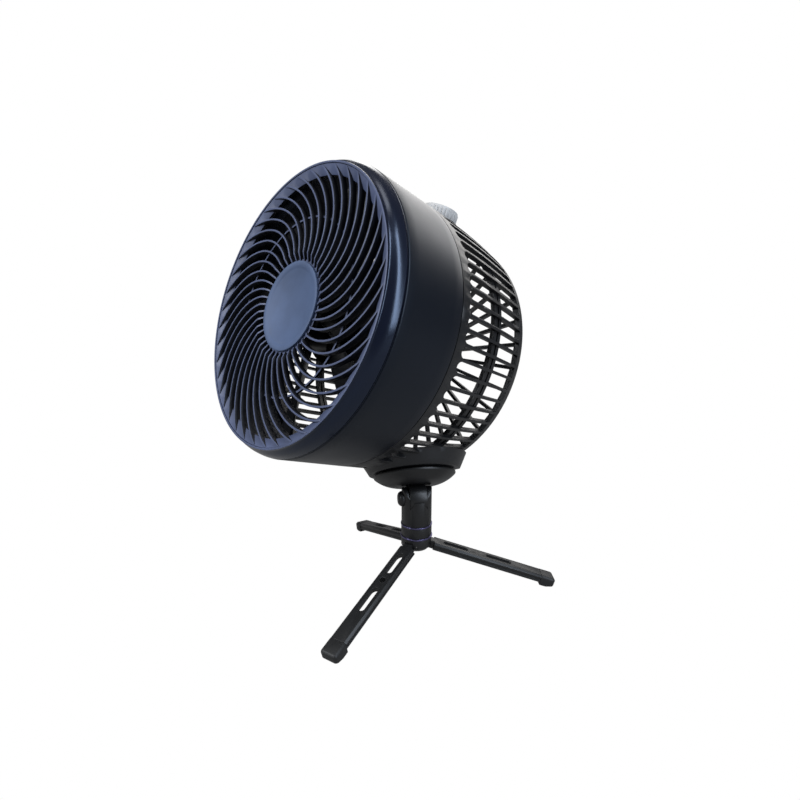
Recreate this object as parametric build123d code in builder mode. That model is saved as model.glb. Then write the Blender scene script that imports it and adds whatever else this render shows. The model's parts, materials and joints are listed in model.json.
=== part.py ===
"""Battery circulator fan: a drum head on a tilting, swivelling stem and a folding mini tripod."""

import math
import os

from build123d import *

os.makedirs("parts", exist_ok=True)

# Pose of the fan as it stands, in degrees
head_lean = 29.5
lean_azimuth = 145.6
head_swivel = -51.8
leg_slope = 17.2
first_leg_azimuth = -75.6
knob_azimuth = 33.0
blade_azimuth = 38.6

# Counts of what repeats
rib_count = 41
slot_count = 66
spoke_count = 34
blade_count = 7
leg_count = 3
cell_count = 3
screw_count = 3
knob_flute_count = 30

# Where the post stands, from the middle of the footprint
post_x = 36.1
post_y = 9.6
cut_overrun = 5.0
running_gap = 0.3
slip_gap = 0.2
pin_gap = 0.05

# Drum
drum_radius = 100.0
drum_wall = 2.4
seam_station = 59.4
joint_lap = 6.0

# Front bezel: a lip, a hollow cove and a rounded bead
rim_inset = 5.0
lip_wall = 1.4
cove_inset = 2.6
cove_station = 5.0
cove_depth = 0.8
bead_inset = 0.2
bead_station = 10.3
bead_height = 0.7
shadow_groove = 1.2
groove_depth = 0.6
grille_shelf = 4.5
shelf_thickness = 2.0
shelf_inset = 8.5

# Front grille: swirl ribs between a hub boss and a sloping ring, with a brace behind
throat_inset = 12.6
ring_front = 0.8
throat_front = 4.0
throat_back = 6.0
rib_thickness = 1.2
rib_sweep = 40.6
rib_knee_share = 0.668
rib_knee_sweep = 19.9
rib_middle_share = 0.307
rib_middle_sweep = 7.0
rib_end_inset = 0.4
rib_root_inset = 1.0
rib_root_front = 4.3
rib_root_run = 4.0
rib_shoulder_front = 2.0
rib_crown_share = 0.6
rib_crown_front = 1.8
brace_share = 0.5235
brace_width = 1.3
brace_bite = 0.5
brace_back = 7.2
hub_radius = 32.0
hub_front = 5.2
hub_wall = 2.0
hub_skirt = 3.2
hub_cap_inset = 1.6
hub_cap_front = 3.2
hub_cap_floor = 4.4
hub_cap_rim = 1.2
hub_dish_slope = 4.8
hub_dish_sag = 0.3

# Rear housing: slotted wall, inner hoops, spoked back and motor pod
housing_wall = 3.0
rear_inset = 4.2
rear_thickness = 3.0
rear_ring_width = 5.0
slot_band = 6.6
slot_taper = 4.0
slot_tail = 4.9
slat_width = 2.1
chin_half_angle = 8.5
hoop_share = 0.5
hoop_width = 3.0
hoop_gap = 1.5
hoop_depth = 3.4
spoke_width = 2.4
pod_radius = 30.0
pod_wall = 2.2
pod_gap = 4.0
pod_front_wall = 2.4
pod_margin = 3.0

# Motor, its shaft and the impeller
motor_radius = 18.0
motor_length = 16.0
motor_boss_radius = 6.0
shaft_radius = 2.0
shaft_tail = 6.0
motor_screw_circle = 12.0
screw_radius = 1.5
screw_head_radius = 2.8
screw_head_height = 1.4
screw_reach = 6.0
impeller_length = 26.0
nut_front_gap = 0.4
impeller_hub_radius = 24.0
impeller_hub_wall = 2.0
impeller_boss_radius = 5.0
blade_tip_gap = 2.9
blade_root_inset = 1.5
blade_thickness = 2.0
blade_root_chord = 24.0
blade_tip_chord = 46.0
blade_root_pitch = 42.0
blade_tip_pitch = 24.0
blade_camber = 2.6
nut_radius = 4.0
nut_height = 3.2

# Battery carrier, cells and board
cell_radius = 9.2
cell_length = 65.0
cell_circle = 11.3
cell_gap = 0.1
holder_floor = 1.6
holder_clearance = 0.3
board_thickness = 1.6
board_radius = 26.0
rear_cap_thickness = 3.0
board_rear_gap = 1.4
cap_screw_circle = 22.5
socket_width = 9.0
socket_height = 3.4
socket_offset = 12.0

# Speed knob on its turret
knob_inset = 30.9
knob_radius = 14.0
knob_height = 8.0
knob_skirt = 1.2
knob_bevel = 1.4
knob_flute_radius = 0.7
turret_radius = 15.5
turret_height = 1.6
turret_depth = 6.0
knob_shaft_radius = 3.0
switch_radius = 8.0
switch_depth = 7.0

# Swivel under the drum
swivel_inset = 21.9
chin_radius = 34.0
chin_flare_radius = 40.0
chin_drop = 2.5
chin_depth = 10.5
washer_thickness = 1.0
washer_radius = 24.0
bowl_radius = 30.5
bowl_depth = 8.6
bowl_bulge = 2.4
bowl_foot_radius = 9.5
bowl_lip = 1.6
swivel_bolt_radius = 4.0
swivel_nut_radius = 8.0
swivel_nut_height = 3.0

# Tilt hinge and post
post_length = 18.9
pivot_drop = 8.6
tongue_width = 12.6
tongue_eye_radius = 10.2
tilt_pin_radius = 2.5
tilt_cap_recess = 1.6
tilt_cap_radius = 5.6
tilt_cap_height = 4.6
tilt_cap_round = 3.4
post_radius = 11.1
cheek_radius = 8.2

# Tripod hub and collar
hub_rise = 5.6
ring_height = 1.2
ring_proud = 0.5
collar_radius = 11.3
collar_height = 7.7
centre_bolt_radius = 3.0
centre_head_radius = 4.6
centre_head_height = 2.6
centre_bolt_reach = 8.0
hub_chamfer = 2.4
leg_pivot_radius = 8.5
leg_pivot_height = 31.7
hub_below_pivot = 3.4
leg_pin_radius = 1.5
leg_pin_length = 13.0
root_width = 6.0
root_slot_inner = 5.2
root_slot_roof = 3.3

# Legs and feet
leg_length = 98.7
leg_width = 12.0
leg_thickness = 6.0
leg_bevel = 1.3
leg_shoulder = 4.6
leg_cap_station = 87.9
groove_height = 1.4
groove_inset = 0.6
leg_slot_width = 4.4
leg_channel_margin = 1.9
leg_web = 2.2
inner_slot_start = 11.6
inner_slot_end = 30.9
outer_slot_start = 44.9
outer_slot_end = 64.8
leg_screw_station = 37.6
leg_screw_radius = 2.0
leg_screw_depth = 2.0
tenon_length = 6.0
tenon_width = 8.0
tenon_thickness = 3.4
foot_proud = 0.15
foot_sole_drop = 1.5
foot_tip_radius = 2.2

# Places that follow from the sizes above
drum_inner = drum_radius - drum_wall
rim_radius = drum_radius - rim_inset
cove_radius = drum_radius - cove_inset
bead_radius = drum_radius - bead_inset
shelf_radius = drum_radius - shelf_inset
throat_radius = drum_radius - throat_inset
rear_radius = drum_radius - rear_inset
barrel_front = bead_station + shadow_groove
spigot_radius = drum_inner - slip_gap
rib_span = throat_radius - hub_radius
rib_middle_radius = hub_radius + rib_span * rib_middle_share
rib_knee_radius = hub_radius + rib_span * rib_knee_share
rib_crown_radius = hub_radius + rib_span * rib_crown_share
brace_radius = hub_radius + rib_span * brace_share
rib_start = hub_radius - rib_root_inset
rib_shoulder_radius = hub_radius + rib_root_run
hub_back = hub_front + hub_skirt
hub_cap_radius = hub_radius - hub_cap_inset
hub_dish_radius = hub_cap_radius - hub_dish_slope
impeller_front = hub_back + nut_front_gap + nut_height
impeller_back = impeller_front + impeller_length
blade_tip_radius = throat_radius - blade_tip_gap
pod_front = impeller_back + pod_gap
motor_front = pod_front + pod_front_wall
motor_back = motor_front + motor_length
holder_front = motor_back + holder_floor
cells_front = holder_front + holder_floor
cells_back = cells_front + cell_length
board_front = cells_back + running_gap
board_back = board_front + board_thickness
rear_cap_front = board_back + board_rear_gap
rear_station = rear_cap_front + rear_cap_thickness
slot_front = seam_station + slot_band
taper_station = slot_front + slot_taper
slot_rear = rear_station - slot_tail
slot_width = 2 * math.pi * rear_radius / slot_count - slat_width
hoop_station = slot_front + (slot_rear - slot_front) * hoop_share
knob_station = rear_station - knob_inset
swivel_station = rear_station - swivel_inset
turret_top = drum_radius + turret_height
chin_bottom = drum_radius + chin_drop
bowl_top = chin_bottom + running_gap + washer_thickness
bowl_bottom = bowl_top + bowl_depth
stem_drop = bowl_bottom + pivot_drop
hub_top = leg_pivot_height + hub_rise
collar_bottom = hub_top + ring_height
collar_top = collar_bottom + collar_height
post_bottom = collar_top + ring_height
pivot_height = post_bottom + post_length
hub_bottom = leg_pivot_height - hub_below_pivot

# The stem frame has its origin on the tilt pivot, x to the way it leans, y along the pin and z up the stem
stem_place = Location((post_x, post_y, pivot_height), (0, 0, lean_azimuth)) * Rotation(0, head_lean, 0)
# The drum frame has its origin in the rim's centre, y up the stem and z along the drum, front to back
drum_in_stem = Plane(origin=(-swivel_station, 0, stem_drop), x_dir=(0, 1, 0), z_dir=(1, 0, 0))
drum_place = stem_place * Rotation(0, 0, head_swivel) * drum_in_stem.location
post_place = Location((post_x, post_y, 0), (0, 0, lean_azimuth))
hub_place = Location((post_x, post_y, 0), (0, 0, first_leg_azimuth))

chin_plane = Plane(origin=(0, -chin_bottom, swivel_station), x_dir=(1, 0, 0), z_dir=(0, -1, 0))
swivel_axis = Axis((0, 0, swivel_station), (0, 1, 0))
knob_turn = math.radians(knob_azimuth)
knob_normal = Vector(-math.sin(knob_turn), math.cos(knob_turn), 0)
knob_foot = knob_normal * turret_top + Vector(0, 0, knob_station)
knob_plane = Plane(origin=knob_foot, x_dir=(0, 0, 1), z_dir=knob_normal)

# Front bezel
with BuildPart() as front_bezel:
    with BuildSketch(Plane.XZ):
        with BuildLine():
            lip_inner = rim_radius - lip_wall
            groove_radius = bead_radius - groove_depth
            shelf_back = grille_shelf + shelf_thickness
            spigot_back = barrel_front + joint_lap
            Line((lip_inner, 0), (rim_radius, 0))
            SagittaArc((rim_radius, 0), (cove_radius, cove_station), -cove_depth)
            SagittaArc((cove_radius, cove_station), (bead_radius, bead_station), bead_height)
            Polyline(
                (bead_radius, bead_station),
                (groove_radius, bead_station),
                (groove_radius, barrel_front),
                (spigot_radius, barrel_front),
                (spigot_radius, spigot_back),
                (spigot_radius - drum_wall, spigot_back),
                (spigot_radius - drum_wall, shelf_back),
                (shelf_radius, shelf_back),
                (shelf_radius, grille_shelf),
                (lip_inner, grille_shelf),
                (lip_inner, 0),
            )
        make_face()
    revolve(axis=Axis.Z)

# Front grille
ring_outer = lip_inner - slip_gap
with BuildSketch() as swirl_rib:
    with BuildLine():
        rib_end = ring_outer - rib_end_inset
        rib_middle = Vector(rib_middle_radius, 0).rotate(Axis.Z, -rib_middle_sweep)
        rib_knee = Vector(rib_knee_radius, 0).rotate(Axis.Z, -rib_knee_sweep)
        rib_tip = Vector(rib_end, 0).rotate(Axis.Z, -rib_sweep)
        rib_inner = ThreePointArc((rib_start, 0), rib_middle, rib_knee)
        TangentArc(rib_knee, rib_tip, tangent=rib_inner % 1)
    trace(line_width=rib_thickness)

with BuildPart() as front_grille:
    with BuildSketch():
        with PolarLocations(0, rib_count):
            add(swirl_rib.sketch)
    extrude(amount=throat_back)
    with BuildSketch(Plane.XZ):
        with BuildLine():
            ring_back = grille_shelf - running_gap
            Line((rib_start, rib_root_front), (rib_shoulder_radius, rib_shoulder_front))
            ThreePointArc(
                (rib_shoulder_radius, rib_shoulder_front),
                (rib_crown_radius, rib_crown_front),
                (ring_outer, ring_front),
            )
            Polyline(
                (ring_outer, ring_front),
                (ring_outer, ring_back),
                (throat_radius, ring_back),
                (throat_radius, throat_back),
                (rib_start, throat_back),
                (rib_start, rib_root_front),
            )
        make_face()
    revolve(axis=Axis.Z, mode=Mode.INTERSECT)
    with BuildSketch(Plane.XZ):
        ring_step = shelf_radius - slip_gap
        Polygon(
            (ring_outer, ring_front),
            (throat_radius, throat_front),
            (throat_radius, throat_back),
            (ring_step, throat_back),
            (ring_step, grille_shelf),
            (ring_outer, grille_shelf),
            align=None,
        )
        Polygon(
            (brace_radius - brace_width / 2, throat_back - brace_bite),
            (brace_radius + brace_width / 2, throat_back - brace_bite),
            (brace_radius + brace_width / 2, brace_back),
            (brace_radius - brace_width / 2, brace_back),
            align=None,
        )
        Polygon(
            (0, hub_front),
            (hub_radius, hub_front),
            (hub_radius, hub_back),
            (hub_radius - hub_wall, hub_back),
            (hub_radius - hub_wall, hub_front + hub_wall),
            (0, hub_front + hub_wall),
            align=None,
        )
    revolve(axis=Axis.Z)

# Hub cap, a shallow dish
with BuildPart() as hub_cap:
    with BuildSketch(Plane.XZ):
        with BuildLine():
            dish_edge = hub_cap_radius - hub_cap_rim
            Polyline(
                (hub_dish_radius, hub_cap_floor),
                (0, hub_cap_floor),
                (0, hub_front),
                (hub_cap_radius, hub_front),
                (hub_cap_radius, hub_cap_front),
                (dish_edge, hub_cap_front),
            )
            SagittaArc((dish_edge, hub_cap_front), (hub_dish_radius, hub_cap_floor), hub_dish_sag)
        make_face()
    revolve(axis=Axis.Z)

# Barrel
with BuildPart() as barrel:
    with BuildSketch(Plane.XY.offset(barrel_front)):
        Circle(drum_radius)
        Circle(drum_inner, mode=Mode.SUBTRACT)
    extrude(amount=seam_station - barrel_front)
    chamfer(barrel.edges().group_by(Axis.Z)[0].sort_by(SortBy.RADIUS)[-1], groove_depth)

# Chin: the flared seat for the swivel, cut flush with the drum's back
with BuildPart() as chin:
    with BuildSketch(Plane.XY.offset(swivel_station)):
        chin_top = chin_depth - chin_bottom
        Polygon(
            (0, -chin_bottom),
            (chin_radius, -chin_bottom),
            (chin_flare_radius, chin_top),
            (0, chin_top),
            align=None,
        )
    revolve(axis=swivel_axis)
    split(bisect_by=Plane.XY.offset(rear_station), keep=Keep.BOTTOM)

# Rear housing
slot_floor = rear_radius - housing_wall - cut_overrun
with BuildPart() as slot_cutter:
    with BuildSketch(Plane(origin=(0, slot_floor, 0), x_dir=(0, 0, 1), z_dir=(0, 1, 0))):
        straight_front = slot_front + slot_width / 2
        with Locations(((straight_front + slot_rear) / 2, 0)):
            Rectangle(slot_rear - straight_front, slot_width)
        with Locations((straight_front, 0)):
            Circle(slot_width / 2)
    extrude(amount=drum_radius + cut_overrun - slot_floor)

with BuildPart() as rear_housing:
    with BuildSketch(Plane.XZ):
        with BuildLine():
            Polyline(
                (0, rear_station),
                (0, seam_station),
                (drum_radius, seam_station),
                (drum_radius, taper_station),
            )
            TangentArc((drum_radius, taper_station), (rear_radius, rear_station), tangent=(0, 1))
            Line((rear_radius, rear_station), (0, rear_station))
        make_face()
    revolve(axis=Axis.Z)
    with BuildSketch(Plane.XZ):
        with BuildLine():
            back_inside = rear_station - rear_thickness
            wall_front = drum_radius - housing_wall
            wall_back = rear_radius - housing_wall
            Polyline(
                (0, back_inside),
                (0, seam_station),
                (wall_front, seam_station),
                (wall_front, taper_station),
            )
            TangentArc((wall_front, taper_station), (wall_back, back_inside), tangent=(0, 1))
            Line((wall_back, back_inside), (0, back_inside))
        make_face()
    revolve(axis=Axis.Z, mode=Mode.SUBTRACT)
    slot_span = 2 * (180 - chin_half_angle)
    with PolarLocations(0, slot_count, chin_half_angle - 180, slot_span, endpoint=True):
        add(slot_cutter.part, mode=Mode.SUBTRACT)
    with BuildSketch(Plane.XY.offset(rear_station)):
        window_inner = pod_radius + pod_margin
        window_outer = rear_radius - rear_ring_width
        half_pitch = math.pi / spoke_count
        inner_half = window_inner * math.tan(half_pitch) - spoke_width / 2
        outer_half = window_outer * math.tan(half_pitch) - spoke_width / 2
        with PolarLocations(0, spoke_count):
            Polygon(
                (window_inner, -inner_half),
                (window_outer, -outer_half),
                (window_outer, outer_half),
                (window_inner, inner_half),
                align=None,
            )
    extrude(amount=-(rear_thickness + cut_overrun), mode=Mode.SUBTRACT)
    with BuildSketch(Plane.XZ):
        for step in range(2):
            hoop_front = hoop_station + step * (hoop_width + hoop_gap)
            hoop_inner = drum_radius - housing_wall - hoop_depth
            with Locations((hoop_inner, hoop_front)):
                Rectangle(hoop_depth, hoop_width, align=(Align.MIN, Align.MIN))
        with Locations((spigot_radius - drum_wall, seam_station - joint_lap)):
            Rectangle(drum_wall, joint_lap + shadow_groove, align=(Align.MIN, Align.MIN))
    revolve(axis=Axis.Z)
    with BuildSketch(Plane.XY.offset(pod_front)):
        Circle(pod_radius)
    extrude(amount=rear_station - pod_front)
    with BuildSketch(Plane.XY.offset(motor_front)):
        Circle(pod_radius - pod_wall)
    extrude(amount=rear_station - motor_front + cut_overrun, mode=Mode.SUBTRACT)
    with BuildSketch(Plane.XY.offset(pod_front)):
        Circle(motor_boss_radius + slip_gap)
        with PolarLocations(motor_screw_circle, screw_count):
            Circle(screw_radius + pin_gap)
    extrude(amount=pod_front_wall, mode=Mode.SUBTRACT)
    add(chin.part)
    with BuildSketch(chin_plane):
        Circle(swivel_bolt_radius + pin_gap)
    extrude(amount=-chin_depth, mode=Mode.SUBTRACT)
    with BuildSketch(knob_plane):
        Circle(turret_radius)
    extrude(amount=-turret_depth)
    with BuildSketch(knob_plane.offset(-turret_depth)):
        Circle(switch_radius + slip_gap)
    extrude(amount=-switch_depth, mode=Mode.SUBTRACT)
    with BuildSketch(knob_plane):
        Circle(knob_shaft_radius + pin_gap)
    extrude(amount=-turret_depth, mode=Mode.SUBTRACT)

# Motor can, with the boss that centres it in the pod's front wall
with BuildPart() as motor_can:
    with BuildSketch(Plane.XY.offset(motor_front)):
        Circle(motor_radius)
    extrude(amount=motor_length)
    with BuildSketch(Plane.XY.offset(pod_front)):
        Circle(motor_boss_radius)
    extrude(amount=pod_front_wall)
    with BuildSketch(Plane.XY.offset(pod_front)):
        Circle(shaft_radius + pin_gap)
        with PolarLocations(motor_screw_circle, screw_count):
            Circle(screw_radius + pin_gap)
    extrude(amount=pod_front_wall + screw_reach, mode=Mode.SUBTRACT)
    with BuildSketch(Plane.XY.offset(motor_front)):
        Circle(shaft_radius + pin_gap)
    extrude(amount=motor_length - shaft_tail, mode=Mode.SUBTRACT)

# Screws that hold the motor to the pod's front wall
with BuildPart() as motor_screws:
    with BuildSketch(Plane.XY.offset(pod_front - screw_head_height)):
        with PolarLocations(motor_screw_circle, screw_count):
            Circle(screw_head_radius)
    extrude(amount=screw_head_height)
    with BuildSketch(Plane.XY.offset(pod_front)):
        with PolarLocations(motor_screw_circle, screw_count):
            Circle(screw_radius)
    extrude(amount=pod_front_wall + screw_reach - running_gap)

# Motor shaft
with BuildPart() as motor_shaft:
    with BuildSketch(Plane.XY.offset(impeller_front - nut_height)):
        Circle(shaft_radius)
    extrude(amount=motor_back - shaft_tail - running_gap - impeller_front + nut_height)

# Impeller
with BuildPart() as blade:
    for radius, chord, pitch in (
        (impeller_hub_radius - blade_root_inset, blade_root_chord, blade_root_pitch),
        (blade_tip_radius, blade_tip_chord, blade_tip_pitch),
    ):
        middle = (impeller_front + impeller_back) / 2
        turn = math.radians(pitch)
        section = Plane(
            origin=(radius, 0, middle),
            x_dir=(0, math.cos(turn), math.sin(turn)),
            z_dir=(1, 0, 0),
        )
        with BuildSketch(section):
            with BuildLine():
                front_edge = (-chord / 2, -blade_thickness / 2)
                back_edge = (chord / 2, -blade_thickness / 2)
                front_top = (-chord / 2, blade_thickness / 2)
                back_top = (chord / 2, blade_thickness / 2)
                ThreePointArc(front_edge, (0, blade_camber - blade_thickness / 2), back_edge)
                Line(back_edge, back_top)
                ThreePointArc(back_top, (0, blade_camber + blade_thickness / 2), front_top)
                Line(front_top, front_edge)
            make_face()
    loft()

with BuildPart() as impeller:
    with BuildSketch(Plane.XY.offset(impeller_front)):
        Circle(impeller_hub_radius)
    extrude(amount=impeller_back - impeller_front)
    with PolarLocations(0, blade_count, start_angle=blade_azimuth):
        add(blade.part)
    with BuildSketch(Plane.XY.offset(impeller_back)):
        Circle(impeller_hub_radius - impeller_hub_wall)
        Circle(impeller_boss_radius, mode=Mode.SUBTRACT)
    extrude(amount=impeller_front + impeller_hub_wall - impeller_back, mode=Mode.SUBTRACT)
    with BuildSketch(Plane.XY.offset(impeller_front)):
        Circle(shaft_radius)
    extrude(amount=impeller_back - impeller_front, mode=Mode.SUBTRACT)

# Nut that holds the impeller on its shaft
with BuildPart() as shaft_nut:
    with BuildSketch(Plane.XY.offset(impeller_front - nut_height)):
        RegularPolygon(nut_radius, 6)
        Circle(shaft_radius, mode=Mode.SUBTRACT)
    extrude(amount=nut_height)

# Battery carrier
with BuildPart() as battery_holder:
    with BuildSketch(Plane.XY.offset(holder_front)):
        Circle(pod_radius - pod_wall - holder_clearance)
    extrude(amount=cells_back - holder_front)
    with BuildSketch(Plane.XY.offset(cells_front)):
        with PolarLocations(cell_circle, cell_count):
            Circle(cell_radius + cell_gap)
    extrude(amount=cell_length, mode=Mode.SUBTRACT)

# Battery cells
with BuildPart() as battery_cells:
    with BuildSketch(Plane.XY.offset(cells_front)):
        with PolarLocations(cell_circle, cell_count):
            Circle(cell_radius)
    extrude(amount=cell_length)

# Control board
with BuildPart() as control_board:
    with BuildSketch(Plane.XY.offset(board_front)):
        Circle(board_radius)
    extrude(amount=board_thickness)

# Charge socket, soldered to the board and showing in the rear cap
with BuildPart() as charge_socket:
    with BuildSketch(Plane.XY.offset(board_back)):
        with Locations((0, -socket_offset)):
            SlotOverall(socket_width, socket_height)
    extrude(amount=rear_station - board_back - running_gap)
    with BuildSketch(Plane.XY.offset(rear_station - running_gap)):
        with Locations((0, -socket_offset)):
            SlotOverall(socket_width - running_gap * 2, socket_height - running_gap * 2)
    extrude(amount=running_gap - (rear_station - board_back) / 2, mode=Mode.SUBTRACT)

# Rear cap
with BuildPart() as rear_cap:
    with BuildSketch(Plane.XY.offset(rear_cap_front)):
        Circle(pod_radius - pod_wall - slip_gap)
        with Locations((0, -socket_offset)):
            SlotOverall(socket_width + slip_gap * 2, socket_height + slip_gap * 2, mode=Mode.SUBTRACT)
        with PolarLocations(cap_screw_circle, screw_count, start_angle=90):
            Circle(screw_radius + pin_gap, mode=Mode.SUBTRACT)
    extrude(amount=rear_cap_thickness)

# Screws of the rear cap
with BuildPart() as cap_screws:
    with BuildSketch(Plane.XY.offset(rear_station)):
        with PolarLocations(cap_screw_circle, screw_count, start_angle=90):
            Circle(screw_head_radius)
    extrude(amount=screw_head_height)
    with BuildSketch(Plane.XY.offset(rear_station)):
        with PolarLocations(cap_screw_circle, screw_count, start_angle=90):
            Circle(screw_radius)
    extrude(amount=-rear_cap_thickness)

# Speed switch under the turret
with BuildPart() as speed_switch:
    with BuildSketch(knob_plane.offset(-turret_depth)):
        Circle(switch_radius)
    extrude(amount=-switch_depth)

# Speed knob
with BuildPart() as speed_knob:
    with BuildSketch(knob_plane.offset(running_gap)):
        Circle(knob_radius)
        with PolarLocations(knob_radius, knob_flute_count):
            Circle(knob_flute_radius, mode=Mode.SUBTRACT)
    extrude(amount=knob_height - knob_bevel)
    with BuildSketch(knob_plane.offset(running_gap + knob_height - knob_bevel)):
        Circle(knob_radius - knob_flute_radius)
    extrude(amount=knob_bevel)
    with BuildSketch(knob_plane.offset(running_gap)):
        Circle(knob_shaft_radius)
    extrude(amount=knob_height - knob_bevel - knob_skirt, mode=Mode.SUBTRACT)

# Knob shaft
with BuildPart() as knob_shaft:
    with BuildSketch(knob_plane.offset(running_gap - turret_depth)):
        Circle(knob_shaft_radius)
    extrude(amount=turret_depth + knob_height - knob_bevel - knob_skirt)

drum_pieces = {
    "front_bezel": front_bezel,
    "front_grille": front_grille,
    "hub_cap": hub_cap,
    "barrel": barrel,
    "rear_housing": rear_housing,
    "motor_can": motor_can,
    "motor_screws": motor_screws,
    "motor_shaft": motor_shaft,
    "impeller": impeller,
    "shaft_nut": shaft_nut,
    "battery_holder": battery_holder,
    "battery_cells": battery_cells,
    "control_board": control_board,
    "charge_socket": charge_socket,
    "rear_cap": rear_cap,
    "cap_screws": cap_screws,
    "speed_switch": speed_switch,
    "speed_knob": speed_knob,
    "knob_shaft": knob_shaft,
}

# Swivel bowl, in the stem frame
bowl_floor = pivot_drop
bowl_rim = bowl_floor + bowl_depth
with BuildPart() as swivel_base:
    with BuildSketch(Plane.XZ):
        with BuildLine():
            bolt_hole = swivel_bolt_radius + pin_gap
            Polyline((bowl_radius, bowl_rim - bowl_lip), (bowl_radius, bowl_rim), (bolt_hole, bowl_rim))
            Polyline((bolt_hole, bowl_rim), (bolt_hole, bowl_floor), (bowl_foot_radius, bowl_floor))
            SagittaArc((bowl_foot_radius, bowl_floor), (bowl_radius, bowl_rim - bowl_lip), -bowl_bulge)
        make_face()
    revolve(axis=Axis.Z)

# Swivel washer
with BuildPart() as swivel_washer:
    with BuildSketch(Plane.XY.offset(bowl_rim)):
        Circle(washer_radius)
        Circle(bolt_hole, mode=Mode.SUBTRACT)
    extrude(amount=washer_thickness)

# Swivel bolt, with its nut inside the drum
nut_floor = stem_drop - chin_bottom + chin_depth + running_gap
with BuildPart() as swivel_bolt:
    with BuildSketch(Plane.XY.offset(bowl_floor)):
        Circle(swivel_bolt_radius)
    extrude(amount=nut_floor - bowl_floor)
    with BuildSketch(Plane.XY.offset(nut_floor)):
        RegularPolygon(swivel_nut_radius, 6)
    extrude(amount=swivel_nut_height)

# Neck: a round tongue on the tilt pin, cut flat under the bowl
with BuildPart() as neck:
    with BuildSketch(Plane.XZ):
        Circle(tongue_eye_radius)
    extrude(amount=tongue_width / 2, both=True)
    split(bisect_by=Plane.XY.offset(bowl_floor), keep=Keep.BOTTOM)
    with BuildSketch(Plane.XZ):
        Circle(tilt_pin_radius + pin_gap)
    extrude(amount=tongue_width, both=True, mode=Mode.SUBTRACT)

stem_pieces = {
    "swivel_base": swivel_base,
    "swivel_washer": swivel_washer,
    "swivel_bolt": swivel_bolt,
    "neck": neck,
}

# Post, forked at the top for the neck's tongue
cap_seat = post_radius - tilt_cap_recess
with BuildPart() as post:
    with BuildSketch(Plane.XZ):
        with BuildLine():
            cheek_turn = math.acos(cheek_radius / post_radius)
            cheek_side = cheek_radius * math.cos(cheek_turn)
            cheek_rise = pivot_height + cheek_radius * math.sin(cheek_turn)
            ThreePointArc(
                (cheek_side, cheek_rise),
                (0, pivot_height + cheek_radius),
                (-cheek_side, cheek_rise),
            )
            Polyline(
                (-cheek_side, cheek_rise),
                (-post_radius, pivot_height),
                (-post_radius, post_bottom),
                (post_radius, post_bottom),
                (post_radius, pivot_height),
                (cheek_side, cheek_rise),
            )
        make_face()
    extrude(amount=post_radius, both=True)
    with BuildSketch(Plane.XY.offset(post_bottom)):
        Circle(post_radius)
    extrude(amount=pivot_height + post_radius - post_bottom, mode=Mode.INTERSECT)
    with BuildSketch(Plane.XZ):
        with Locations((0, pivot_height)):
            Circle(tongue_eye_radius + running_gap)
            Rectangle(post_radius * 2, post_radius, align=(Align.CENTER, Align.MIN))
    extrude(amount=tongue_width / 2 + slip_gap, both=True, mode=Mode.SUBTRACT)
    with BuildSketch(Plane.XZ):
        with Locations((0, pivot_height)):
            Circle(tilt_pin_radius)
    extrude(amount=post_radius, both=True, mode=Mode.SUBTRACT)
    with BuildSketch(Plane.XZ.offset(-cap_seat)):
        with Locations((0, pivot_height)):
            Circle(tilt_cap_radius + slip_gap)
    extrude(amount=-cut_overrun, mode=Mode.SUBTRACT)
    with BuildSketch(Plane.XY.offset(post_bottom)):
        Circle(centre_bolt_radius)
    extrude(amount=centre_bolt_reach, mode=Mode.SUBTRACT)

# Tilt pin
with BuildPart() as tilt_pin:
    with BuildSketch(Plane.XZ):
        with Locations((0, pivot_height)):
            Circle(tilt_pin_radius)
    extrude(amount=cap_seat, both=True)

# Domed cap on the tilt pin's end
with BuildPart() as tilt_cap:
    with BuildSketch(Plane.XZ.offset(-cap_seat)):
        with Locations((0, pivot_height)):
            Circle(tilt_cap_radius)
    extrude(amount=-tilt_cap_height)
    fillet(tilt_cap.edges().group_by(Axis.Y)[-1], tilt_cap_round)

# Bright ring under the post
with BuildPart() as post_ring:
    with BuildSketch(Plane.XY.offset(collar_top)):
        Circle(post_radius + ring_proud)
        Circle(centre_bolt_radius + pin_gap, mode=Mode.SUBTRACT)
    extrude(amount=ring_height)

# Collar
with BuildPart() as hub_collar:
    with BuildSketch(Plane.XY.offset(collar_bottom)):
        Circle(collar_radius)
        Circle(centre_bolt_radius + pin_gap, mode=Mode.SUBTRACT)
    extrude(amount=collar_height)

# Bright ring on the tripod hub
with BuildPart() as hub_ring:
    with BuildSketch(Plane.XY.offset(hub_top)):
        Circle(collar_radius + ring_proud)
        Circle(centre_bolt_radius + pin_gap, mode=Mode.SUBTRACT)
    extrude(amount=ring_height)

post_pieces = {
    "post": post,
    "tilt_pin": tilt_pin,
    "tilt_cap": tilt_cap,
    "post_ring": post_ring,
    "hub_collar": hub_collar,
    "hub_ring": hub_ring,
}

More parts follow.
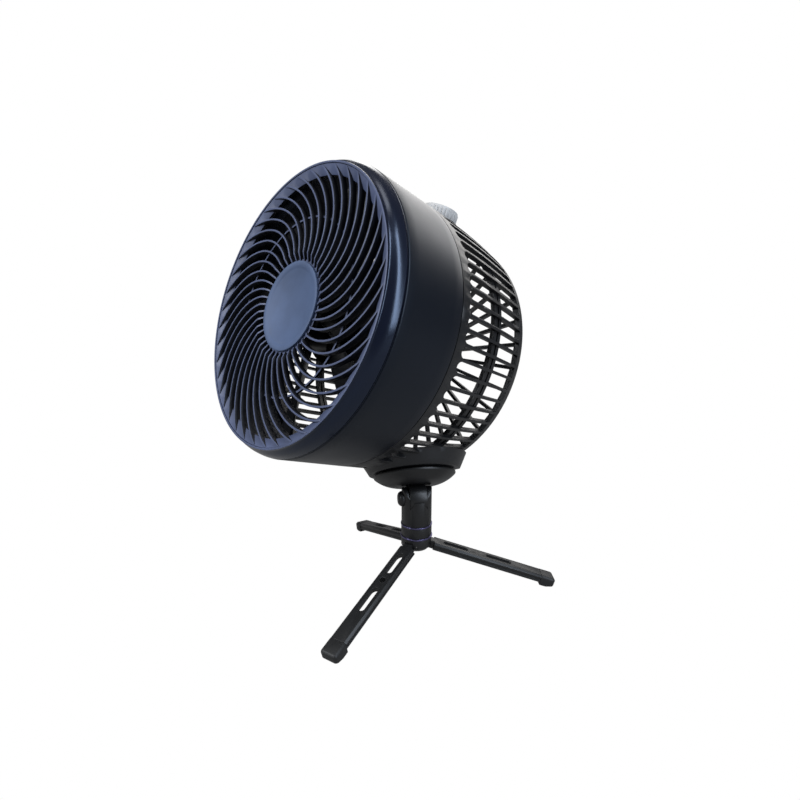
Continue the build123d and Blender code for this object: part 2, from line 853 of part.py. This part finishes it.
# Tripod hub with a slot for each leg's root
with BuildPart() as tripod_hub:
    with BuildSketch(Plane.XY.offset(hub_bottom)):
        Circle(collar_radius)
    extrude(amount=hub_top - hub_bottom)
    chamfer(tripod_hub.edges().group_by(Axis.Z)[0], hub_chamfer)
    with BuildSketch(Plane.XY.offset(hub_bottom)):
        with PolarLocations(root_slot_inner, leg_count):
            Rectangle(collar_radius, root_width + slip_gap * 2, align=(Align.MIN, Align.CENTER))
    extrude(amount=leg_pivot_height + root_slot_roof - hub_bottom, mode=Mode.SUBTRACT)
    with BuildSketch(Plane.XY.offset(hub_bottom)):
        Circle(centre_head_radius + pin_gap)
    extrude(amount=centre_head_height, mode=Mode.SUBTRACT)
    with BuildSketch(Plane.XY.offset(hub_bottom)):
        Circle(centre_bolt_radius + pin_gap)
    extrude(amount=hub_top - hub_bottom, mode=Mode.SUBTRACT)
    for leg in range(leg_count):
        hinge = Plane.XY.rotated((0, 0, 360 * leg / leg_count))
        pin_centre = hinge.x_dir * leg_pivot_radius + Vector(0, 0, leg_pivot_height)
        with BuildSketch(Plane(origin=pin_centre, x_dir=hinge.x_dir, z_dir=hinge.y_dir)):
            Circle(leg_pin_radius)
        extrude(amount=leg_pin_length / 2, both=True, mode=Mode.SUBTRACT)

# Leg pins
with BuildPart() as leg_pins:
    for leg in range(leg_count):
        hinge = Plane.XY.rotated((0, 0, 360 * leg / leg_count))
        pin_centre = hinge.x_dir * leg_pivot_radius + Vector(0, 0, leg_pivot_height)
        with BuildSketch(Plane(origin=pin_centre, x_dir=hinge.x_dir, z_dir=hinge.y_dir)):
            Circle(leg_pin_radius)
        extrude(amount=leg_pin_length / 2, both=True)

# Centre bolt from the hub up into the post
with BuildPart() as centre_bolt:
    with BuildSketch(Plane.XY.offset(hub_bottom)):
        Circle(centre_head_radius)
    extrude(amount=centre_head_height)
    with BuildSketch(Plane.XY.offset(hub_bottom + centre_head_height)):
        Circle(centre_bolt_radius)
    extrude(amount=post_bottom + centre_bolt_reach - hub_bottom - centre_head_height)

hub_pieces = {"tripod_hub": tripod_hub, "leg_pins": leg_pins, "centre_bolt": centre_bolt}

# Leg, along x from its hinge, with its upper face at +z
leg_section = Plane(origin=(leg_shoulder, 0, 0), x_dir=(0, 1, 0), z_dir=(1, 0, 0))
with BuildPart() as leg:
    with BuildSketch(leg_section):
        half_width = leg_width / 2
        half_thickness = leg_thickness / 2
        groove_bottom = -groove_height / 2
        with BuildLine():
            Polyline(
                (0, -half_thickness),
                (half_width - leg_bevel, -half_thickness),
                (half_width, leg_bevel - half_thickness),
                (half_width, groove_bottom),
                (half_width - groove_inset, groove_bottom),
                (half_width - groove_inset, groove_bottom + groove_height),
                (half_width, groove_bottom + groove_height),
                (half_width, half_thickness - leg_bevel),
                (half_width - leg_bevel, half_thickness),
                (0, half_thickness),
            )
            mirror(about=Plane.YZ)
        make_face()
    extrude(amount=leg_cap_station - leg_shoulder)
    with BuildSketch(Plane.XZ):
        Circle(half_thickness)
        Rectangle(leg_shoulder, leg_thickness, align=(Align.MIN, Align.CENTER))
    extrude(amount=root_width / 2, both=True)
    with BuildSketch(Plane.XZ):
        Circle(leg_pin_radius + pin_gap)
    extrude(amount=root_width, both=True, mode=Mode.SUBTRACT)
    leg_slots = ((inner_slot_start, inner_slot_end), (outer_slot_start, outer_slot_end))
    with BuildSketch(Plane.XY.offset(half_thickness)):
        for slot_start, slot_end in leg_slots:
            with Locations(((slot_start + slot_end) / 2, 0)):
                SlotOverall(slot_end - slot_start, leg_slot_width)
    extrude(amount=-leg_thickness, mode=Mode.SUBTRACT)
    with BuildSketch(Plane.XY.offset(half_thickness - leg_web)):
        channel_rim = leg_channel_margin * 2
        for slot_start, slot_end in leg_slots:
            with Locations(((slot_start + slot_end) / 2, 0)):
                SlotOverall(slot_end - slot_start + channel_rim, leg_slot_width + channel_rim)
    extrude(amount=leg_web - leg_thickness, mode=Mode.SUBTRACT)
    with BuildSketch(Plane.XY.offset(half_thickness)):
        with Locations((leg_screw_station, 0)):
            Circle(leg_screw_radius + pin_gap)
    extrude(amount=-leg_screw_depth, mode=Mode.SUBTRACT)
    with BuildSketch(Plane(origin=(leg_cap_station, 0, 0), x_dir=(0, 1, 0), z_dir=(1, 0, 0))):
        Rectangle(tenon_width, tenon_thickness)
    extrude(amount=tenon_length)

# Screw in the leg's upper face
with BuildPart() as leg_screw:
    with BuildSketch(Plane.XY.offset(half_thickness - leg_screw_depth)):
        with Locations((leg_screw_station, 0)):
            Circle(leg_screw_radius)
    extrude(amount=leg_screw_depth - pin_gap)

# Rubber foot on the leg's tenon, with its sole flat on the floor
with BuildPart() as foot_cap:
    with BuildSketch(Plane.XZ):
        foot_top = half_thickness + foot_proud
        foot_bottom = -half_thickness - foot_sole_drop
        with BuildLine():
            Polyline(
                (leg_cap_station, foot_bottom),
                (leg_cap_station, foot_top),
                (leg_length, foot_top),
                (leg_length, foot_bottom),
                close=True,
            )
        make_face()
    extrude(amount=half_width + foot_proud, both=True)
    fillet(foot_cap.edges().filter_by(Axis.Z).group_by(Axis.X)[-1], foot_tip_radius)
    foot_rim = foot_cap.faces().sort_by(Axis.Z)[-1].edges().sort_by(Axis.X)[1:]
    chamfer(foot_rim, leg_bevel)
    with BuildSketch(Plane(origin=(leg_cap_station, 0, 0), x_dir=(0, 1, 0), z_dir=(1, 0, 0))):
        Rectangle(tenon_width + pin_gap * 2, tenon_thickness + pin_gap * 2)
    extrude(amount=tenon_length + slip_gap, mode=Mode.SUBTRACT)
    slope = math.radians(leg_slope)
    floor_normal = Vector(math.sin(slope), 0, -math.cos(slope))
    floor_plane = Plane(origin=floor_normal * leg_pivot_height, x_dir=(0, 1, 0), z_dir=floor_normal)
    split(bisect_by=floor_plane, keep=Keep.BOTTOM)


def write_piece(builder, node, place):
    """Label a finished piece, put it in its place in the fan and write it."""
    builder.part.label = node
    export_step(builder.part.moved(place), f"parts/{node}.step")


for pieces, place in (
    (drum_pieces, drum_place),
    (stem_pieces, stem_place),
    (post_pieces, post_place),
    (hub_pieces, hub_place),
):
    for node, builder in pieces.items():
        write_piece(builder, node, place)

for number in range(leg_count):
    leg_turn = Rotation(0, 0, 360 * number / leg_count)
    leg_hinge = Location((leg_pivot_radius, 0, leg_pivot_height), (0, leg_slope, 0))
    leg_place = hub_place * leg_turn * leg_hinge
    write_piece(leg, f"leg_{number + 1}", leg_place)
    write_piece(leg_screw, f"leg_screw_{number + 1}", leg_place)
    write_piece(foot_cap, f"foot_cap_{number + 1}", leg_place)
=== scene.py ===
import json
import math

import bpy
from mathutils import Matrix, Vector

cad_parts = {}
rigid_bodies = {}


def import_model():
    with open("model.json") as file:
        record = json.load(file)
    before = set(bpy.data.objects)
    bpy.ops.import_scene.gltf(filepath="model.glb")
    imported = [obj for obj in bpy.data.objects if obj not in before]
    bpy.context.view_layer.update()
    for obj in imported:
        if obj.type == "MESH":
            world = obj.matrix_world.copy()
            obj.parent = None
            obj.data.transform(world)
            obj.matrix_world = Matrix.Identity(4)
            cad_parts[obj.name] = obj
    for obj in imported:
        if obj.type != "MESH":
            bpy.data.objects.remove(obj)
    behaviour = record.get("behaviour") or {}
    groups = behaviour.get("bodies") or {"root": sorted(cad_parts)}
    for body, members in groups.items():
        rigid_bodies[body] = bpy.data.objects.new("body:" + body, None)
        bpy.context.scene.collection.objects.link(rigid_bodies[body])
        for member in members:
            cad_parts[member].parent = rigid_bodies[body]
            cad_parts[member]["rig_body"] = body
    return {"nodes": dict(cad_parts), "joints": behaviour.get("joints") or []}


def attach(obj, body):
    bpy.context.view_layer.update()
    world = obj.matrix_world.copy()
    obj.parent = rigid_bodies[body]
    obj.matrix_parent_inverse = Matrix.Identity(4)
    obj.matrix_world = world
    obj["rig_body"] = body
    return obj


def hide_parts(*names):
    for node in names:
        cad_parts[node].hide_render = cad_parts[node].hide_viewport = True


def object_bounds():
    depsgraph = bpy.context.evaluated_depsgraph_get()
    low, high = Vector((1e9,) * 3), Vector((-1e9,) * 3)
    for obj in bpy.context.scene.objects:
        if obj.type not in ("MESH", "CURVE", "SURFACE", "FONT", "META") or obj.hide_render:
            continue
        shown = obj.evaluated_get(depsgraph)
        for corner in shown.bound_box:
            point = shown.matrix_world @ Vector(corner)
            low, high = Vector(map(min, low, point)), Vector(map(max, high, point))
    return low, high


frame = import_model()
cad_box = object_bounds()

nodes = frame["nodes"]
joints = {joint["name"]: joint for joint in frame["joints"]}


# The photograph's camera: level with the drum's upper half, to the right of its front,
# as worked out from the drum's ellipses and the tripod, looking with no roll.
rim_centre = Vector(joints["fan_spin"]["pos_m"])
post_axis = Vector(joints["tilt"]["pos_m"])
view_azimuth = math.radians(46.4)
view_elevation = math.radians(11.1)
view_distance = 0.3333
view_shift_right = -0.0122
view_shift_up = -0.0653
focal_pixels = 490.0
image_pixels = 800.0
toward_camera = Vector((
    math.sin(view_azimuth) * math.cos(view_elevation),
    -math.cos(view_azimuth) * math.cos(view_elevation),
    math.sin(view_elevation),
))
camera_right = Vector((math.cos(view_azimuth), math.sin(view_azimuth), 0.0))
camera_up = toward_camera.cross(camera_right)
view_origin = Vector((post_axis.x, post_axis.y, rim_centre.z))
camera_place = (
    view_origin
    + camera_right * view_shift_right
    + camera_up * view_shift_up
    + toward_camera * view_distance
)
camera_data = bpy.data.cameras.new("photo_camera")
camera_data.sensor_width = 36.0
camera_data.lens = camera_data.sensor_width * focal_pixels / image_pixels
camera_data.clip_start = 0.01
camera = bpy.data.objects.new("photo_camera", camera_data)
camera_turn = Matrix((camera_right, camera_up, toward_camera)).transposed().to_4x4()
camera.matrix_world = Matrix.Translation(camera_place) @ camera_turn
bpy.context.collection.objects.link(camera)
bpy.context.scene.camera = camera


# Studio floor: a wide board that the three feet stand on. The camera sees it as paper white,
# and all other light sees a matt grey board that keeps the shadow.
floor_size = 8.0
floor_clearance = 0.0002
floor_level = cad_box[0][2] - floor_clearance
bpy.ops.object.select_all(action="DESELECT")
bpy.ops.mesh.primitive_plane_add(size=floor_size, location=(0, 0, floor_level))
studio_floor = bpy.context.object
studio_floor.name = "studio_floor"


def paper_white(tree, dim_shader, white_shader, output_socket, gloss_share):
    """White to the camera and through glass, partly white in gloss, and dim to other light."""
    path = tree.nodes.new("ShaderNodeLightPath")
    seen = tree.nodes.new("ShaderNodeMath")
    seen.operation = "MAXIMUM"
    mirrored = tree.nodes.new("ShaderNodeMath")
    mirrored.operation = "MULTIPLY"
    mirrored.inputs[1].default_value = gloss_share
    shown = tree.nodes.new("ShaderNodeMath")
    shown.operation = "MAXIMUM"
    choose = tree.nodes.new("ShaderNodeMixShader")
    white_shader.inputs["Color"].default_value = (1, 1, 1, 1)
    white_shader.inputs["Strength"].default_value = 1.0
    tree.links.new(path.outputs["Is Camera Ray"], seen.inputs[0])
    tree.links.new(path.outputs["Is Transmission Ray"], seen.inputs[1])
    tree.links.new(path.outputs["Is Glossy Ray"], mirrored.inputs[0])
    tree.links.new(seen.outputs[0], shown.inputs[0])
    tree.links.new(mirrored.outputs[0], shown.inputs[1])
    tree.links.new(shown.outputs[0], choose.inputs[0])
    tree.links.new(dim_shader.outputs[0], choose.inputs[1])
    tree.links.new(white_shader.outputs[0], choose.inputs[2])
    tree.links.new(choose.outputs[0], output_socket)


floor_paint = bpy.data.materials.new("studio_board")
floor_paint.use_nodes = True
board_tree = floor_paint.node_tree
board_tree.nodes.clear()
board_out = board_tree.nodes.new("ShaderNodeOutputMaterial")
board = board_tree.nodes.new("ShaderNodeBsdfDiffuse")
board.inputs["Color"].default_value = (0.24, 0.235, 0.23, 1)
board_glow = board_tree.nodes.new("ShaderNodeEmission")
paper_white(board_tree, board, board_glow, board_out.inputs["Surface"], gloss_share=0.18)
studio_floor.data.materials.append(floor_paint)

studio_air = bpy.data.worlds.new("studio_air")
bpy.context.scene.world = studio_air
studio_air.use_nodes = True
air_tree = studio_air.node_tree
air_tree.nodes.clear()
air_out = air_tree.nodes.new("ShaderNodeOutputWorld")
air = air_tree.nodes.new("ShaderNodeBackground")
air.inputs["Color"].default_value = (0.8, 0.84, 0.92, 1)
air.inputs["Strength"].default_value = 0.11
backdrop = air_tree.nodes.new("ShaderNodeBackground")
paper_white(air_tree, air, backdrop, air_out.inputs["Surface"], gloss_share=0.04)


# Studio lamps: a broad soft box behind and over the drum, which greys the top of the barrel,
# a cool strip at its right for the bead's edge, a small box overhead and one to the front left.
def soft_box(name, place, target, width, height, watts, colour):
    """A rectangular studio lamp at a place, facing a target."""
    lamp = bpy.data.lights.new(name, "AREA")
    lamp.shape = "RECTANGLE"
    lamp.size = width
    lamp.size_y = height
    lamp.energy = watts
    lamp.color = colour
    stand = bpy.data.objects.new(name, lamp)
    stand.location = place
    stand.rotation_euler = (Vector(target) - Vector(place)).to_track_quat("-Z", "Y").to_euler()
    bpy.context.collection.objects.link(stand)


drum_middle_from_rim = Vector((0.0, 0.06, -0.02))
drum_middle = rim_centre + drum_middle_from_rim
soft_box(
    "back_box", place=(-0.4, 1.1, 0.85), target=drum_middle,
    width=1.4, height=0.7, watts=8.5, colour=(1.0, 0.98, 0.96),
)
soft_box(
    "cool_strip", place=(0.88, 0.02, 0.72), target=drum_middle,
    width=0.22, height=1.3, watts=10.0, colour=(0.78, 0.87, 1.0),
)
soft_box(
    "top_box", place=(-0.05, -0.1, 1.45), target=drum_middle,
    width=0.5, height=0.5, watts=4.0, colour=(1.0, 0.97, 0.95),
)
soft_box(
    "front_box", place=(-0.3, -1.15, 0.85), target=drum_middle,
    width=0.6, height=0.6, watts=15.0, colour=(0.93, 0.96, 1.0),
)

bpy.context.scene.view_settings.view_transform = "Standard"


# Front bezel: the moulded rim ring, with a thin lip, a hollow cove and a rounded bead.
# Dark navy satin plastic, pushed into the mouth of the barrel.
def moulded_finish(
    name, colour, roughness, grain_pitch=0.0006, grain_depth=0.15, mottle=0.15, sheen=(1, 1, 1)
):
    """Moulded plastic: slightly uneven colour and gloss over a fine spark-eroded grain."""
    flow_scale = 45.0
    flow_detail = 5.0
    flow_low = 0.3
    flow_high = 0.7
    gloss_spread = 0.02
    grain_detail = 2.0
    grain_height = grain_pitch / 3
    finish = bpy.data.materials.new(name)
    finish.use_nodes = True
    tree = finish.node_tree
    shader = tree.nodes["Principled BSDF"]
    shader.inputs["Specular Tint"].default_value = (*sheen, 1)
    place = tree.nodes.new("ShaderNodeTexCoord")
    flow = tree.nodes.new("ShaderNodeTexNoise")
    flow.inputs["Scale"].default_value = flow_scale
    flow.inputs["Detail"].default_value = flow_detail
    shade = tree.nodes.new("ShaderNodeValToRGB")
    dark, light = shade.color_ramp.elements
    dark.position = flow_low
    light.position = flow_high
    dark.color = tuple(c * (1 - mottle) for c in colour) + (1,)
    light.color = tuple(c * (1 + mottle) for c in colour) + (1,)
    gloss = tree.nodes.new("ShaderNodeMapRange")
    gloss.inputs["From Min"].default_value = flow_low
    gloss.inputs["From Max"].default_value = flow_high
    gloss.inputs["To Min"].default_value = roughness - gloss_spread
    gloss.inputs["To Max"].default_value = roughness + gloss_spread
    grain = tree.nodes.new("ShaderNodeTexNoise")
    grain.inputs["Scale"].default_value = 1 / grain_pitch
    grain.inputs["Detail"].default_value = grain_detail
    relief = tree.nodes.new("ShaderNodeBump")
    relief.inputs["Strength"].default_value = grain_depth
    relief.inputs["Distance"].default_value = grain_height
    tree.links.new(place.outputs["Object"], flow.inputs["Vector"])
    tree.links.new(place.outputs["Object"], grain.inputs["Vector"])
    tree.links.new(flow.outputs[0], shade.inputs[0])
    tree.links.new(flow.outputs[0], gloss.inputs["Value"])
    tree.links.new(grain.outputs[0], relief.inputs["Height"])
    tree.links.new(shade.outputs[0], shader.inputs["Base Color"])
    tree.links.new(gloss.outputs[0], shader.inputs["Roughness"])
    tree.links.new(relief.outputs[0], shader.inputs["Normal"])
    return finish


def dress(finish, *pieces):
    """Put one finish on every slot of some pieces or CAD nodes."""
    for piece in pieces:
        thing = nodes[piece] if isinstance(piece, str) else piece
        if not thing.material_slots:
            thing.data.materials.append(finish)
        for slot in thing.material_slots:
            slot.material = finish


def turn_profile(node, profile, sides=256, corner=30.0):
    """A ring turned about the drum's axis from (radius, station) points, for a CAD piece."""
    merge_gap = 0.000002
    bpy.ops.object.select_all(action="DESELECT")
    radius, station = profile[0]
    bpy.ops.mesh.primitive_circle_add(vertices=sides, radius=radius, location=(0, 0, station))
    ring = bpy.context.object
    ring.name = node + "_finished"
    bpy.ops.object.mode_set(mode="EDIT")
    bpy.ops.mesh.select_all(action="SELECT")
    for next_radius, next_station in profile[1:] + profile[:1]:
        step = (0, 0, next_station - station)
        bpy.ops.mesh.extrude_edges_move(TRANSFORM_OT_translate={"value": step})
        growth = next_radius / radius
        bpy.ops.transform.resize(value=(growth, growth, 1), center_override=(0, 0, 0))
        radius, station = next_radius, next_station
    bpy.ops.mesh.select_all(action="SELECT")
    bpy.ops.mesh.remove_doubles(threshold=merge_gap)
    bpy.ops.mesh.normals_make_consistent(inside=False)
    bpy.ops.object.mode_set(mode="OBJECT")
    bpy.ops.object.shade_smooth_by_angle(angle=math.radians(corner))
    ring.matrix_world = drum_place @ ring.matrix_world
    bpy.ops.object.transform_apply(location=True, rotation=True, scale=True)
    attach(ring, nodes[node]["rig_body"])
    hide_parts(node)
    return ring


drum_back = -Vector(joints["fan_spin"]["axis"]).normalized()
drum_up = Vector(joints["swivel"]["axis"]).normalized()
drum_side = drum_up.cross(drum_back)
drum_turn = Matrix((drum_side, drum_up, drum_back)).transposed().to_4x4()
drum_place = Matrix.Translation(rim_centre) @ drum_turn
bezel_lip = [
    (0.09360, 0.00040), (0.09380, 0.00010), (0.09410, 0.00000), (0.09470, 0.00000),
    (0.09492, 0.00010), (0.09500, 0.00030),
]
bezel_cove = [
    (0.09503, 0.00090), (0.09510, 0.00130), (0.09525, 0.00165), (0.09560, 0.00215),
    (0.09610, 0.00280), (0.09660, 0.00342), (0.09705, 0.00400), (0.09745, 0.00455),
    (0.09780, 0.00510),
]
bezel_bead = [
    (0.09810, 0.00565), (0.09840, 0.00630), (0.09872, 0.00710), (0.09903, 0.00800),
    (0.09931, 0.00890), (0.09952, 0.00960), (0.09963, 0.00998), (0.09967, 0.01015),
    (0.09962, 0.01030), (0.09930, 0.01040),
]
bezel_groove = [
    (0.09920, 0.01060), (0.09920, 0.01070), (0.09960, 0.01080), (0.09970, 0.01090),
    (0.09970, 0.01110), (0.09960, 0.01120), (0.09920, 0.01130), (0.09920, 0.01150),
]
bezel_spigot = [
    (0.09740, 0.01150), (0.09740, 0.01750), (0.09500, 0.01750), (0.09500, 0.00650),
]
bezel_shelf = [(0.09150, 0.00650), (0.09150, 0.00450), (0.09360, 0.00450)]
bezel_navy = moulded_finish(
    "bezel_navy", colour=(0.0045, 0.0062, 0.0150), roughness=0.21, grain_depth=0.04, mottle=0.06,
    sheen=(0.60, 0.74, 1.0),
)
bezel_piece = turn_profile(
    "front_bezel",
    bezel_lip + bezel_cove + bezel_bead + bezel_groove + bezel_spigot + bezel_shelf,
)
dress(bezel_navy, bezel_piece)


# Front grille: forty-one swirl ribs from a hub boss to a sloping ring, with a brace behind.
# One moulding in slate blue plastic, snapped in behind the bezel's lip, which has its colour.
# The ribs' sides and backs carry painted shade: a near-black copy of the slate that stands for the
# shade of the duct.
def soften(node, edge, segments=2, corner=35.0):
    """A copy of a CAD piece whose sharp edges are rounded over, standing for that piece."""
    merge_gap = 0.000001
    flat_angle = math.radians(0.4)
    corner_angle = math.radians(corner)
    bpy.ops.object.select_all(action="DESELECT")
    piece = bpy.data.objects.new(node + "_finished", nodes[node].data.copy())
    bpy.context.collection.objects.link(piece)
    bpy.context.view_layer.objects.active = piece
    piece.select_set(True)
    bpy.ops.object.mode_set(mode="EDIT")
    bpy.ops.mesh.select_all(action="SELECT")
    bpy.ops.mesh.remove_doubles(threshold=merge_gap)
    bpy.ops.mesh.dissolve_limited(angle_limit=flat_angle)
    bpy.ops.object.mode_set(mode="OBJECT")
    rounding = piece.modifiers.new("rounding", "BEVEL")
    rounding.width = edge
    rounding.segments = segments
    rounding.limit_method = "ANGLE"
    rounding.angle_limit = corner_angle
    bpy.ops.object.modifier_apply(modifier="rounding")
    bpy.ops.object.shade_smooth_by_angle(angle=corner_angle)
    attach(piece, nodes[node]["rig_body"])
    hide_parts(node)
    return piece


grille_slate = moulded_finish(
    "grille_slate", colour=(0.075, 0.095, 0.175), roughness=0.5, grain_depth=0.12,
)
# Painted shade: a near-black copy of the slate for the grille faces that lie in shadow.
grille_painted_shade = moulded_finish(
    "grille_painted_shade", colour=(0.004, 0.006, 0.013), roughness=0.55, grain_depth=0.12,
)
grille_piece = soften("front_grille", edge=0.0002)
dress(grille_slate, grille_piece)
grille_piece.data.materials.append(grille_painted_shade)
painted_shade_slot = len(grille_piece.data.materials) - 1
forward_limit = -0.5
# Every face not turned to the front gets the painted shade.
for face in grille_piece.data.polygons:
    if face.normal.dot(drum_back) > forward_limit:
        face.material_index = painted_shade_slot

bezel_piece.data.materials.append(grille_slate)
lip_slot = len(bezel_piece.data.materials) - 1
lip_radius, lip_depth = bezel_lip[-1]
for face in bezel_piece.data.polygons:
    in_drum = drum_place.inverted() @ face.center
    if in_drum.z < lip_depth and in_drum.xy.length < lip_radius:
        face.material_index = lip_slot

# Hub cap: a plain shallow dish, glued over the boss in the middle of the grille.
# Same slate blue plastic, with a finer, silkier face.
hub_slate = moulded_finish(
    "hub_slate", colour=(0.068, 0.105, 0.20), roughness=0.62, grain_pitch=0.0004, grain_depth=0.08,
)
dress(hub_slate, soften("hub_cap", edge=0.0004, segments=3))

# Barrel: the plain tube of the drum, an injection moulding in satin black with a navy cast.
# It is held between the bezel's spigot and the rear housing's.
barrel_black = moulded_finish(
    "barrel_black", colour=(0.0042, 0.0055, 0.0092), roughness=0.40, grain_depth=0.05, mottle=0.06,
    sheen=(0.42, 0.50, 0.62),
)
barrel_profile = [
    (0.0976, 0.0115), (0.0993, 0.0115), (0.0997, 0.0116), (0.0999, 0.0119), (0.1, 0.0123),
    (0.1, 0.0200), (0.1, 0.0355), (0.1, 0.0510), (0.1, 0.0586), (0.0999, 0.0589),
    (0.0996, 0.0592), (0.0991, 0.0594), (0.0976, 0.0594), (0.0976, 0.0355),
]
dress(barrel_black, turn_profile("barrel", barrel_profile))

# Rear housing: the slotted tail of the drum, with inner hoops, back spokes, the motor pod
# and the chin that carries the swivel. Satin black plastic in one moulding.
housing_black = moulded_finish(
    "housing_black", colour=(0.007, 0.0075, 0.009), roughness=0.42, grain_depth=0.06, mottle=0.08,
)
dress(housing_black, soften("rear_housing", edge=0.0004, segments=1))


# Motor: a turned steel can on three screws inside the pod, with its ground steel shaft.
# Bare steel, bright where it was turned.
def turned_metal(name, colour, roughness):
    """Bare metal with fine turning streaks in its gloss and a little unevenness in its tone."""
    streak_scale = 900.0
    streak_detail = 3.0
    streak_stretch = (0.2, 0.2, 1.0)
    dark_share = 0.85
    light_share = 1.1
    gloss_spread = 0.08
    finish = bpy.data.materials.new(name)
    finish.use_nodes = True
    tree = finish.node_tree
    shader = tree.nodes["Principled BSDF"]
    shader.inputs["Metallic"].default_value = 1.0
    place = tree.nodes.new("ShaderNodeTexCoord")
    stretch = tree.nodes.new("ShaderNodeMapping")
    stretch.inputs["Scale"].default_value = streak_stretch
    streaks = tree.nodes.new("ShaderNodeTexNoise")
    streaks.inputs["Scale"].default_value = streak_scale
    streaks.inputs["Detail"].default_value = streak_detail
    tone = tree.nodes.new("ShaderNodeValToRGB")
    dark, light = tone.color_ramp.elements
    dark.color = tuple(c * dark_share for c in colour) + (1,)
    light.color = tuple(min(1.0, c * light_share) for c in colour) + (1,)
    gloss = tree.nodes.new("ShaderNodeMapRange")
    gloss.inputs["To Min"].default_value = roughness - gloss_spread
    gloss.inputs["To Max"].default_value = roughness + gloss_spread
    tree.links.new(place.outputs["Object"], stretch.inputs["Vector"])
    tree.links.new(stretch.outputs[0], streaks.inputs["Vector"])
    tree.links.new(streaks.outputs[0], tone.inputs[0])
    tree.links.new(streaks.outputs[0], gloss.inputs["Value"])
    tree.links.new(tone.outputs[0], shader.inputs["Base Color"])
    tree.links.new(gloss.outputs[0], shader.inputs["Roughness"])
    return finish


bare_steel = turned_metal("bare_steel", colour=(0.56, 0.56, 0.55), roughness=0.32)
dress(bare_steel, "motor_can", "motor_shaft", "motor_screws")

# Impeller: seven cambered blades on a cup hub, pressed on the shaft and held by a hex nut.
# Black plastic, a little glossier than the shell.
impeller_black = moulded_finish(
    "impeller_black", colour=(0.008, 0.0085, 0.010), roughness=0.33, grain_depth=0.06,
)
dress(impeller_black, soften("impeller", edge=0.0004))
dress(bare_steel, "shaft_nut")

# Battery pack: three round cells in a bored carrier behind the motor, with the control board
# screwed across its end. Black plastic, blue shrink sleeves and green glass laminate.
carrier_black = moulded_finish("carrier_black", colour=(0.012, 0.012, 0.012), roughness=0.5)
dress(carrier_black, "battery_holder")
cell_sleeve = moulded_finish(
    "cell_sleeve", colour=(0.02, 0.08, 0.22), roughness=0.3, grain_depth=0.03,
)
dress(cell_sleeve, "battery_cells")
board_green = moulded_finish(
    "board_green", colour=(0.01, 0.09, 0.035), roughness=0.35, grain_pitch=0.0009, grain_depth=0.1,
)
dress(board_green, "control_board")

# Rear cap: the plain round door behind the battery, on three screws, with the charge socket
# showing in it. Satin black plastic, zinc screws and a plated socket shell.
dress(housing_black, soften("rear_cap", edge=0.0004))
dress(bare_steel, "cap_screws", "charge_socket")

# Speed knob: a fluted cap moulded in satin silver plastic, pushed on a short steel shaft.
# It stands on a low turret of the housing, with its rotary switch inside the drum.
knob_silver = moulded_finish(
    "knob_silver", colour=(0.55, 0.54, 0.525), roughness=0.45, grain_depth=0.05, mottle=0.05,
)
dress(knob_silver, soften("speed_knob", edge=0.0003))
dress(bare_steel, "knob_shaft")
dress(carrier_black, "speed_switch")

# Swivel bowl: the round seat under the chin that the head turns on, with its slip washer
# and through bolt. Black plastic bowl, dark nylon washer and zinc bolt.
stand_black = moulded_finish(
    "stand_black", colour=(0.0065, 0.0065, 0.0068), roughness=0.42, grain_depth=0.03, mottle=0.08,
)
dress(stand_black, soften("swivel_base", edge=0.0006, segments=3))
washer_nylon = moulded_finish("washer_nylon", colour=(0.03, 0.03, 0.03), roughness=0.45)
dress(washer_nylon, "swivel_washer")
dress(bare_steel, "swivel_bolt")

# Neck and tilt hinge: a round tongue under the bowl, pinned between the post's cheeks,
# with a domed black cap over the pin's end. Black plastic on a bare steel pin.
dress(stand_black, soften("neck", edge=0.0004), soften("tilt_cap", edge=0.0003))
dress(bare_steel, "tilt_pin")

# Post and collar: a turned black post and collar with two bright lilac rings between them.
# Aluminium, anodised, drawn down on the tripod hub by one centre bolt.
dress(stand_black, soften("post", edge=0.0004), soften("hub_collar", edge=0.0003))
ring_lilac = turned_metal("ring_lilac", colour=(0.13, 0.12, 0.23), roughness=0.36)
dress(ring_lilac, soften("post_ring", edge=0.0002), soften("hub_ring", edge=0.0002))
dress(bare_steel, "centre_bolt")

# Tripod hub: the round block that the three legs fold from, each on its own blackened pin.
# Black anodised aluminium and blackened steel.
dress(stand_black, soften("tripod_hub", edge=0.0005))
screw_black = turned_metal("screw_black", colour=(0.05, 0.05, 0.05), roughness=0.4)
dress(screw_black, "leg_pins")

# Legs: three flat bars, hollow underneath, with two long slots and a small screw between them.
# Die-cast and sprayed matt black, with a groove along each side and a rubber foot on the end.
leg_black = moulded_finish(
    "leg_black", colour=(0.011, 0.011, 0.011), roughness=0.46, grain_pitch=0.0015, grain_depth=0.01,
)
foot_rubber = moulded_finish(
    "foot_rubber", colour=(0.010, 0.010, 0.010), roughness=0.55, grain_pitch=0.0015,
    grain_depth=0.01,
)
for number in ("1", "2", "3"):
    dress(leg_black, soften("leg_" + number, edge=0.0004))
    dress(screw_black, "leg_screw_" + number)
    dress(foot_rubber, soften("foot_cap_" + number, edge=0.0005))
